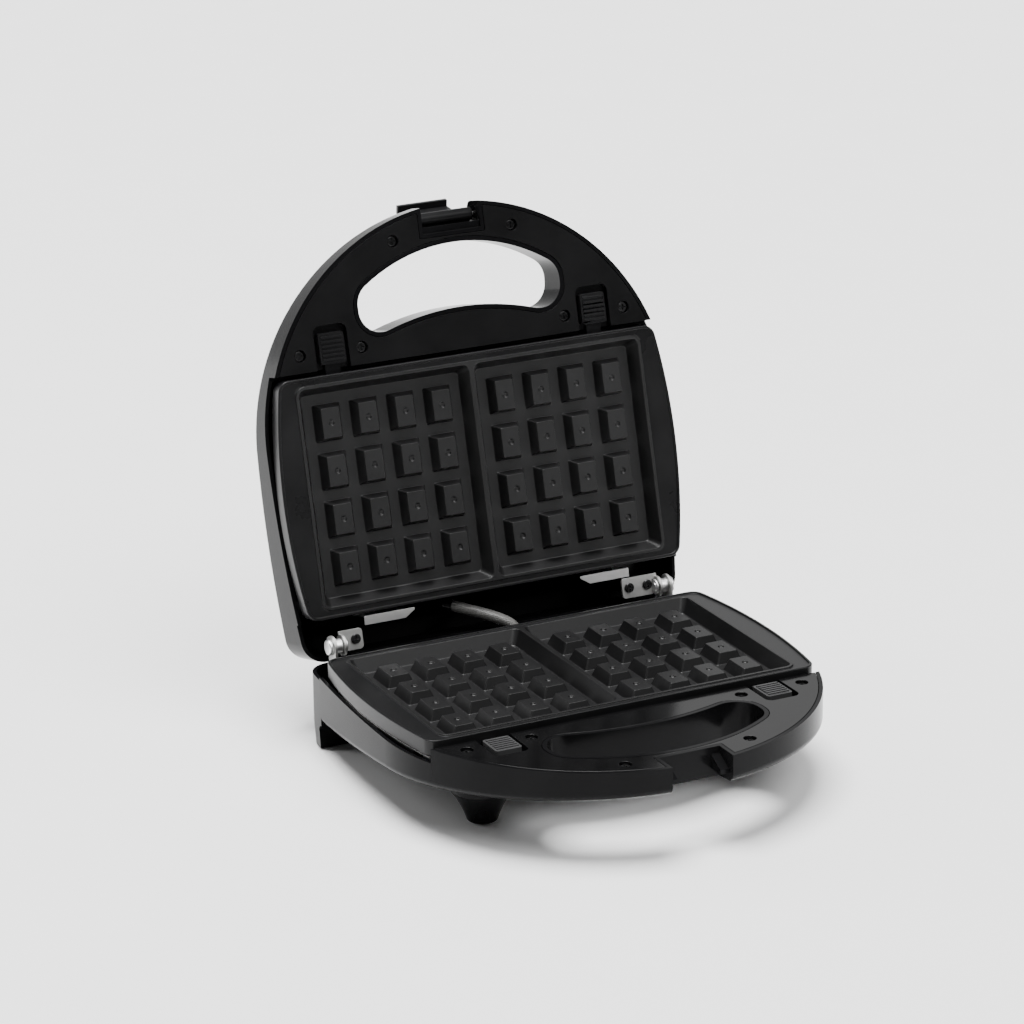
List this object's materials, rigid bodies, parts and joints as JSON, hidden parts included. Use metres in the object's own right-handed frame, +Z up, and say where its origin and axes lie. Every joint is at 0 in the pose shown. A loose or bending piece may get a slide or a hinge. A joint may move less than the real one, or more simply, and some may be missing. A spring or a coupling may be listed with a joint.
{
  "type": "waffle maker",
  "caption": "Electric waffle maker standing open: clamshell case with handles, latch and ribbed waffle plates held by release sliders.",
  "frame": {"origin": "middle of the overall footprint at table level, with the lid open as stored", "axes": "+Z up, +Y from the handle to the hinge and the open lid, +X to the right seen from the handle"},
  "size_m": [0.2466, 0.3288, 0.2778],
  "materials": {
    "shell_plastic": "gloss black moulded heat-resistant plastic",
    "cover_plastic": "satin black plastic cover",
    "slider_plastic": "black moulded plastic",
    "black_screw": "black-oxide cross-head screws",
    "nonstick_plate": "cast aluminium with dark grey non-stick coating",
    "tray_steel": "bright aluminised steel sheet",
    "zinc_steel": "zinc-plated steel",
    "heater_sheath": "steel-sheathed tubular heater",
    "ceramic": "glazed ceramic",
    "spring_steel": "spring wire",
    "chrome_pin": "bright plated steel",
    "rubber": "black rubber",
    "brown_bakelite": "brown phenolic",
    "glass_fibre": "braided and varnished glass-fibre sleeve",
    "red_lens": "clear red lens",
    "green_lens": "clear green lens"
  },
  "bodies": {
    "base": {"base_bracket_screws": "zinc_steel", "base_cable_clamp": "shell_plastic", "base_cover_screws": "black_screw", "base_element_clips": "zinc_steel", "base_handle_cover": "cover_plastic", "base_heating_element": "heater_sheath", "base_hinge_bracket_left": "zinc_steel", "base_hinge_bracket_right": "zinc_steel", "base_plate": "nonstick_plate", "base_shell": "shell_plastic", "base_slider_spring_left": "spring_steel", "base_slider_spring_right": "spring_steel", "base_terminal_block": "ceramic", "base_tray": "tray_steel", "base_tray_screws": "zinc_steel", "cable_sleeve": "glass_fibre", "cord_gland": "rubber", "foot_pads": "rubber", "front_foot_left": "shell_plastic", "front_foot_right": "shell_plastic", "hinge_clips": "chrome_pin", "hinge_pin_left": "chrome_pin", "hinge_pin_right": "chrome_pin", "hinge_spacers": "chrome_pin", "thermal_fuse": "ceramic", "thermostat": "brown_bakelite", "wiring_block": "brown_bakelite"},
    "lid": {"latch_pin": "chrome_pin", "lid_bracket_screws": "zinc_steel", "lid_cable_clamp": "shell_plastic", "lid_cover_screws": "black_screw", "lid_element_clips": "zinc_steel", "lid_handle_cover": "cover_plastic", "lid_heating_element": "heater_sheath", "lid_hinge_bracket_left": "zinc_steel", "lid_hinge_bracket_right": "zinc_steel", "lid_plate": "nonstick_plate", "lid_power_lens": "red_lens", "lid_ready_lens": "green_lens", "lid_shell": "shell_plastic", "lid_slider_spring_left": "spring_steel", "lid_slider_spring_right": "spring_steel", "lid_terminal_block": "ceramic", "lid_tray": "tray_steel", "lid_tray_screws": "zinc_steel"},
    "latch": {"latch_clip": "slider_plastic"},
    "base_slider_left": {"base_slider_left": "slider_plastic"},
    "base_slider_right": {"base_slider_right": "slider_plastic"},
    "lid_slider_left": {"lid_slider_left": "slider_plastic"},
    "lid_slider_right": {"lid_slider_right": "slider_plastic"}
  },
  "joints": [
    {"name": "lid_hinge", "type": "hinge", "parent": "base", "child": "lid", "pos_m": [0, 0.06722, 0.055], "axis": [1, 0, 0], "range_deg": [0, 104.5], "deforming": ["cable_sleeve"]},
    {"name": "latch_pivot", "type": "hinge", "parent": "lid", "child": "latch", "pos_m": [0, 0.13531, 0.26876], "axis": [1, 0, 0], "range_deg": [0, 162]},
    {"name": "base_release_left", "type": "slide", "parent": "base", "child": "base_slider_left", "axis": [0, -1, 0], "range_m": [0, 0.004], "stiffness_N_per_m": 150, "springref_m": -0.006, "deforming": ["base_slider_spring_left"]},
    {"name": "base_release_right", "type": "slide", "parent": "base", "child": "base_slider_right", "axis": [0, -1, 0], "range_m": [0, 0.004], "stiffness_N_per_m": 150, "springref_m": -0.006, "deforming": ["base_slider_spring_right"]},
    {"name": "lid_release_left", "type": "slide", "parent": "lid", "child": "lid_slider_left", "axis": [0, 0.2504, 0.9681], "range_m": [0, 0.004], "stiffness_N_per_m": 150, "springref_m": -0.006, "deforming": ["lid_slider_spring_left"]},
    {"name": "lid_release_right", "type": "slide", "parent": "lid", "child": "lid_slider_right", "axis": [0, 0.2504, 0.9681], "range_m": [0, 0.004], "stiffness_N_per_m": 150, "springref_m": -0.006, "deforming": ["lid_slider_spring_right"]}
  ]
}
